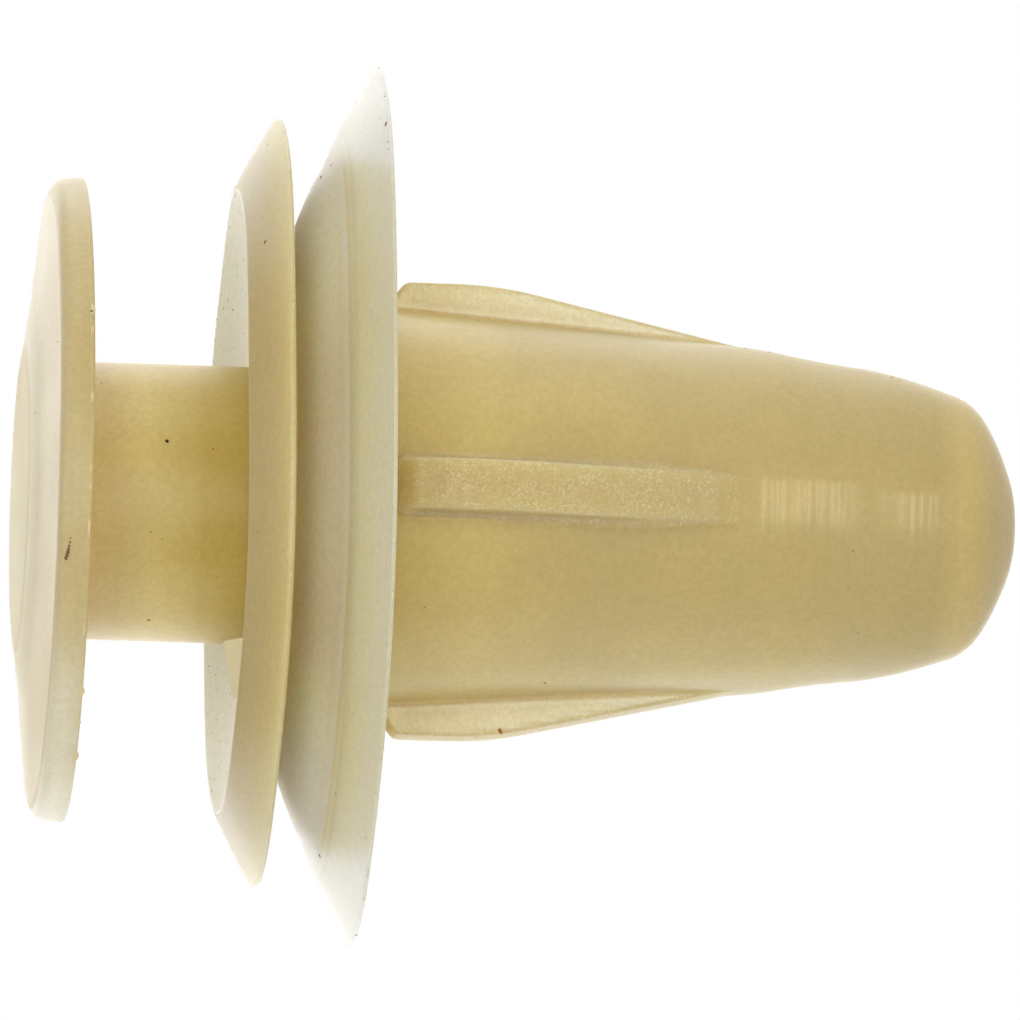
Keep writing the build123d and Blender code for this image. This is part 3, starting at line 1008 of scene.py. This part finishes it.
# %% Specks that the picture shows
SEEN_SPECKS = {
    "black fleck on the neck": [(167, 441, 0.05, 0.0)],
    "brown streak on the head": [
        (70.5, 538, 0.022, 0.55), (70, 542, 0.03, 0.5), (69, 546, 0.038, 0.45), (68.5, 549.5, 0.045, 0.45),
        (68, 552.5, 0.045, 0.42), (67, 555.5, 0.05, 0.4), (66, 558.5, 0.04, 0.42),
    ],
    "head's back edge": [(92, 311, 0.035, 0.45)],
    "faint specks on the neck": [(213, 449, 0.02, 0.6), (151, 532, 0.022, 0.65), (162, 539, 0.018, 0.65)],
    "smudge on the neck": [(149, 620, 0.045, 0.68)],
    "collar": [(265, 242, 0.038, 0.35), (262, 217, 0.02, 0.6)],
    "dish": [
        (233, 310, 0.03, 0.5), (222, 295, 0.02, 0.55), (216, 330, 0.022, 0.55), (212, 791, 0.022, 0.6),
        (226, 653, 0.022, 0.5),
    ],
    "lip": [
        (386, 124, 0.05, 0.15), (388, 142, 0.028, 0.4), (389, 149, 0.025, 0.5), (385, 96, 0.022, 0.6),
        (355, 101, 0.022, 0.6), (331, 165, 0.028, 0.5), (321, 177, 0.042, 0.4), (330, 196, 0.022, 0.62),
        (336, 794, 0.028, 0.55), (320, 856, 0.038, 0.42), (356, 935, 0.035, 0.5), (376, 792, 0.022, 0.55),
    ],
    "red fleck under the shank": [(500, 731, 0.055, 1.0)],
    "shank": [(545, 683, 0.035, 0.62), (745, 346, 0.028, 0.5), (770, 351, 0.022, 0.5)],
    "nose": [
        (893, 375, 0.026, 0.5), (901, 377, 0.022, 0.55), (853, 551, 0.02, 0.62), (788, 606, 0.018, 0.66),
        (858, 633, 0.02, 0.64),
    ],
}
print(sum(map(len, SEEN_SPECKS.values())), "specks in the picture")

# %% [markdown]
# Each speck is a knobbly, flattened icosahedron sunk into the surface. Its twelve corners come from the
# golden ratio, and its faces are the threes of corners that are one edge apart from each other.

# %% A knobbly speck
GOLDEN = (1 + math.sqrt(5)) / 2
SIGNS = [(1, 1), (-1, 1), (1, -1), (-1, -1)]
knob_places = ([(0, a, b * GOLDEN) for a, b in SIGNS] + [(a, b * GOLDEN, 0) for a, b in SIGNS]
               + [(b * GOLDEN, 0, a) for a, b in SIGNS])
KNOBS = np.array(knob_places) / math.hypot(1, GOLDEN)
EDGE_SLACK = 1.01

apart = np.linalg.norm(KNOBS[:, None] - KNOBS[None], axis=2)
edge_length = np.sort(apart[0])[1] * EDGE_SLACK


def outward_face(a, b, c):
    """The three corners in the order whose normal, (b - a) x (c - a), points away from the centre."""
    normal = np.cross(KNOBS[b] - KNOBS[a], KNOBS[c] - KNOBS[a])
    return (a, b, c) if np.dot(normal, KNOBS[a]) > 0 else (a, c, b)


knob_faces = [outward_face(a, b, c) for a in range(len(KNOBS)) for b in range(a) for c in range(b)
              if max(apart[a, b], apart[b, c], apart[a, c]) < edge_length]
print("a speck has", len(knob_faces), "faces")

# %% [markdown]
# To find a speck's place on the clip we send a ray from the camera through its place in the picture and
# take the point where it meets the clip. At the silhouette a ray may pass by, and then the nearest point
# counts. The strips of the dish that show beyond the neck are dustier, and the other sides get dust by
# chance.

# %% Dust and specks
DUST_COUNT, DUST_SIZE, DUST_TONE = 90, (0.01, 0.024), (0.45, 0.68)
DISH_COUNT, DISH_SIZE, DISH_TONE = 30, (0.01, 0.022), (0.55, 0.75)
DUSTY_DISH = [((214, 246), (195, 352)), ((207, 238), (645, 800))]
SPECK_STRETCH = (0.8, 1.5)
SPECK_FLATNESS = 0.45
SPECK_KNOBS = (0.75, 1.2)
surface = BVHTree.FromPolygons(vertices.tolist(), [list(face.vertices) for face in clip_faces])
grit_points, grit_faces, grit_tone = [], [], []


def seen_point(column, row):
    """The point and outward direction of the surface that the camera shows at a place in the picture."""
    ray = to_right * (column - PICTURE / 2) + to_top * (PICTURE / 2 - row) - to_viewer * focal_pixels
    place, outward = surface.ray_cast(eye, ray.normalized())[:2]
    if place is None:
        passing = eye + ray * ((eye - MIDDLE).dot(to_viewer) / focal_pixels)
        place, outward = surface.find_nearest(passing)[:2]
    return place, outward


def add_speck(place, outward, size, tone):
    """Puts one speck of `size` mm on the surface, flat against it: place + turn x (knobs x stretch)."""
    spin = Matrix.Rotation(chance.uniform(0, 2 * np.pi), 3, "Z")
    turn = outward.to_track_quat("Z", "Y").to_matrix() @ spin
    stretch = np.array([chance.uniform(*SPECK_STRETCH), 1.0, SPECK_FLATNESS]) * size * MM
    knobs = KNOBS * stretch * chance.uniform(*SPECK_KNOBS, (len(KNOBS), 1))
    grit_faces.extend([[number + len(grit_points) for number in face] for face in knob_faces])
    grit_points.extend((np.array(place) + knobs @ np.array(turn).T).tolist())
    grit_tone.extend([tone] * len(KNOBS))


for specks in SEEN_SPECKS.values():
    for column, row, size, tone in specks:
        add_speck(*seen_point(column, row), size, tone)
for columns, rows in DUSTY_DISH:
    for _ in range(DISH_COUNT):
        place, outward = seen_point(chance.uniform(*columns), chance.uniform(*rows))
        add_speck(place, outward, chance.uniform(*DISH_SIZE), chance.uniform(*DISH_TONE))
areas = np.array([face.area for face in clip_faces])
for number in chance.choice(len(areas), DUST_COUNT, p=areas / areas.sum()):
    face = clip_faces[int(number)]
    add_speck(face.center, face.normal, chance.uniform(*DUST_SIZE), chance.uniform(*DUST_TONE))

grit = new_piece("grit", grit_points, grit_faces)
store(grit, "tone", grit_tone)
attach(grit, "root")
print("grit:", len(grit_tone) // len(KNOBS), "specks,", len(grit_faces), "triangles")

# %% [markdown]
# Grit is dry and dull. The stored tone picks its colour.

# %% Colour of the grit
GRIT_COLOURS = [
    (0.0, (0.03, 0.02, 0.012, 1)),
    (0.4, (0.15, 0.08, 0.03, 1)),
    (0.7, (0.33, 0.24, 0.11, 1)),
    (1.0, (0.38, 0.13, 0.04, 1)),
]

dirt, tree = new_material("grit")
dirt_colour = colour_ramp(tree, stored(tree, "tone"), GRIT_COLOURS)
shader = add(tree, "BsdfPrincipled", {"Base Color": dirt_colour, "Roughness": 0.8})
add(tree, "OutputMaterial", {"Surface": shader.outputs[0]})
grit.data.materials.append(dirt)
print("grit has", len(GRIT_COLOURS), "colours")
